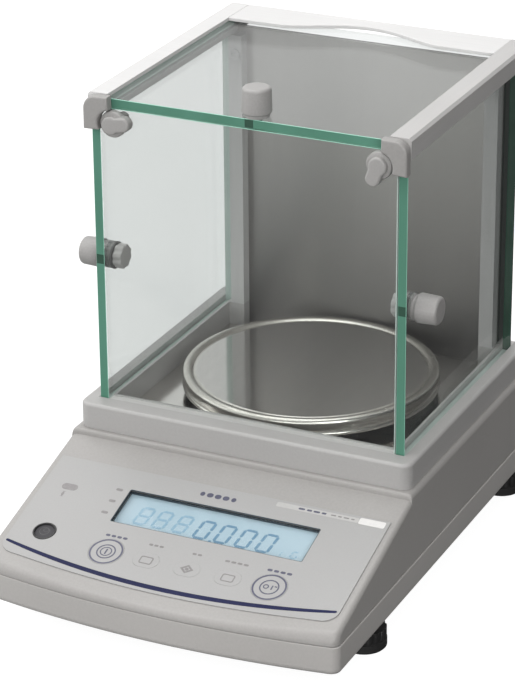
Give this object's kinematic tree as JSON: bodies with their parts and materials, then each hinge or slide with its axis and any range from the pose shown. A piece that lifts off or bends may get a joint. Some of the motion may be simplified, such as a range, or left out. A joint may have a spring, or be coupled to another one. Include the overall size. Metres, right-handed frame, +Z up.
{
  "type": "analytical balance",
  "caption": "Analytical laboratory balance with a round weighing pan inside a sliding glass draught shield and a sloped control panel with display and keys.",
  "frame": {"origin": "centre of the bounding box at table level, under the middle of the case", "axes": "+Z up; -Y towards the user, who faces the display; +X to the user's right"},
  "size_m": [0.1706, 0.242, 0.225],
  "materials": {
    "case_paint": "satin moulded",
    "base_paint": "satin paint on die casting",
    "overlay": "printed polyester film",
    "lcd_window": "clear",
    "lcd": "pale blue display behind a bezel",
    "pcb": "fibreglass board",
    "switch": "moulded",
    "key_cap": "satin moulded",
    "level_ring": "moulded",
    "level_vial": "clear vial with liquid",
    "steel": "machine screws, plain",
    "black_screw": "black oxide",
    "connector": "plated shell",
    "black_plastic": "moulded",
    "cell_metal": "machined",
    "carrier": "cast",
    "pan_steel": "satin stainless",
    "floor_steel": "satin stainless",
    "frame_plastic": "satin moulded",
    "rail": "satin, light grey",
    "wall": "satin light grey sheet",
    "rear_black": "satin black",
    "glass": "clear float glass with green edges",
    "knob": "satin moulded",
    "rubber": "moulded"
  },
  "bodies": {
    "case": {"lower_case": "base_paint", "upper_case": "case_paint", "case_screws": "steel", "panel_overlay": "overlay", "lcd_window": "lcd_window", "lcd_module": "lcd", "display_board": "pcb", "key_switches": "switch", "level_holder": "level_ring", "level_vial": "level_vial", "main_board": "pcb", "board_screws": "steel", "dc_inlet": "black_plastic", "serial_port": "connector", "cell_base": "cell_metal", "cell_block": "cell_metal", "fork_sensor": "steel", "cell_screws": "steel", "pan_post": "steel", "pan_carrier": "carrier", "pan_pads": "rubber", "floor_plate": "floor_steel", "shield_base": "frame_plastic", "shield_screws": "black_screw", "post_left": "rail", "post_right": "rail", "rear_wall": "wall", "rear_cover": "rear_black", "top_bar": "rail", "rail_left": "rail", "rail_right": "rail", "rail_cap_left": "frame_plastic", "rail_cap_right": "frame_plastic", "front_glass": "glass"},
    "pan": {"pan": "pan_steel"},
    "key_power": {"key_power": "key_cap"},
    "key_print": {"key_print": "key_cap"},
    "key_set": {"key_set": "key_cap"},
    "key_function": {"key_function": "key_cap"},
    "key_tare": {"key_tare": "key_cap"},
    "latch_left": {"latch_left": "knob"},
    "latch_right": {"latch_right": "knob"},
    "door_left": {"door_glass_left": "glass", "door_knob_left": "knob", "door_grip_left": "knob"},
    "door_right": {"door_glass_right": "glass", "door_knob_right": "knob", "door_grip_right": "knob"},
    "lid": {"lid_glass": "glass", "lid_knob": "knob", "lid_nut": "steel"},
    "pad_fl": {"foot_pad_fl": "rubber"},
    "screw_fl": {"foot_screw_fl": "black_plastic"},
    "pad_fr": {"foot_pad_fr": "rubber"},
    "screw_fr": {"foot_screw_fr": "black_plastic"},
    "pad_rl": {"foot_pad_rl": "rubber"},
    "screw_rl": {"foot_screw_rl": "black_plastic"},
    "pad_rr": {"foot_pad_rr": "rubber"},
    "screw_rr": {"foot_screw_rr": "black_plastic"}
  },
  "joints": [
    {"name": "left_door_slide", "type": "slide", "parent": "case", "child": "door_left", "axis": [0, 1, 0], "range_m": [0, 0.1]},
    {"name": "right_door_slide", "type": "slide", "parent": "case", "child": "door_right", "axis": [0, 1, 0], "range_m": [0, 0.1]},
    {"name": "lid_slide", "type": "slide", "parent": "case", "child": "lid", "axis": [0, 1, 0], "range_m": [0, 0.11]},
    {"name": "pan_lift_off", "type": "slide", "parent": "case", "child": "pan", "axis": [0, 0, 1], "range_m": [0, 0.05]},
    {"name": "power_key_press", "type": "slide", "parent": "case", "child": "key_power", "axis": [0, 0.2882, -0.9576], "range_m": [0, 0.0006], "stiffness_N_per_m": 1200},
    {"name": "print_key_press", "type": "slide", "parent": "case", "child": "key_print", "axis": [0, 0.2882, -0.9576], "range_m": [0, 0.0006], "stiffness_N_per_m": 1200},
    {"name": "set_key_press", "type": "slide", "parent": "case", "child": "key_set", "axis": [0, 0.2882, -0.9576], "range_m": [0, 0.0006], "stiffness_N_per_m": 1200},
    {"name": "function_key_press", "type": "slide", "parent": "case", "child": "key_function", "axis": [0, 0.2882, -0.9576], "range_m": [0, 0.0006], "stiffness_N_per_m": 1200},
    {"name": "tare_key_press", "type": "slide", "parent": "case", "child": "key_tare", "axis": [0, 0.2882, -0.9576], "range_m": [0, 0.0006], "stiffness_N_per_m": 1200},
    {"name": "left_latch_turn", "type": "hinge", "parent": "case", "child": "latch_left", "pos_m": [-0.062, -0.019, 0.2015], "axis": [0, -1, 0], "range_deg": [0, 60]},
    {"name": "right_latch_turn", "type": "hinge", "parent": "case", "child": "latch_right", "pos_m": [0.062, -0.019, 0.2015], "axis": [0, 1, 0], "range_deg": [0, 90]},
    {"name": "foot_fl_height", "type": "slide", "parent": "case", "child": "pad_fl", "axis": [0, 0, 1], "range_m": [-0.003, 0.0025]},
    {"name": "foot_fl_screw", "type": "hinge", "parent": "pad_fl", "child": "screw_fl", "pos_m": [-0.074, -0.064, 0.006], "axis": [0, 0, 1], "range_deg": [-1100, 920]},
    {"name": "foot_fr_height", "type": "slide", "parent": "case", "child": "pad_fr", "axis": [0, 0, 1], "range_m": [-0.003, 0.0025]},
    {"name": "foot_fr_screw", "type": "hinge", "parent": "pad_fr", "child": "screw_fr", "pos_m": [0.074, -0.064, 0.006], "axis": [0, 0, 1], "range_deg": [-1100, 920]},
    {"name": "foot_rl_height", "type": "slide", "parent": "case", "child": "pad_rl", "axis": [0, 0, 1], "range_m": [-0.003, 0.0025]},
    {"name": "foot_rl_screw", "type": "hinge", "parent": "pad_rl", "child": "screw_rl", "pos_m": [-0.074, 0.099, 0.006], "axis": [0, 0, 1], "range_deg": [-1100, 920]},
    {"name": "foot_rr_height", "type": "slide", "parent": "case", "child": "pad_rr", "axis": [0, 0, 1], "range_m": [-0.003, 0.0025]},
    {"name": "foot_rr_screw", "type": "hinge", "parent": "pad_rr", "child": "screw_rr", "pos_m": [0.074, 0.099, 0.006], "axis": [0, 0, 1], "range_deg": [-1100, 920]}
  ],
  "couplings": [
    {"joint": "foot_fl_screw", "follows": "foot_fl_height", "rad_per_m": 6283.2},
    {"joint": "foot_fr_screw", "follows": "foot_fr_height", "rad_per_m": 6283.2},
    {"joint": "foot_rl_screw", "follows": "foot_rl_height", "rad_per_m": 6283.2},
    {"joint": "foot_rr_screw", "follows": "foot_rr_height", "rad_per_m": 6283.2}
  ]
}
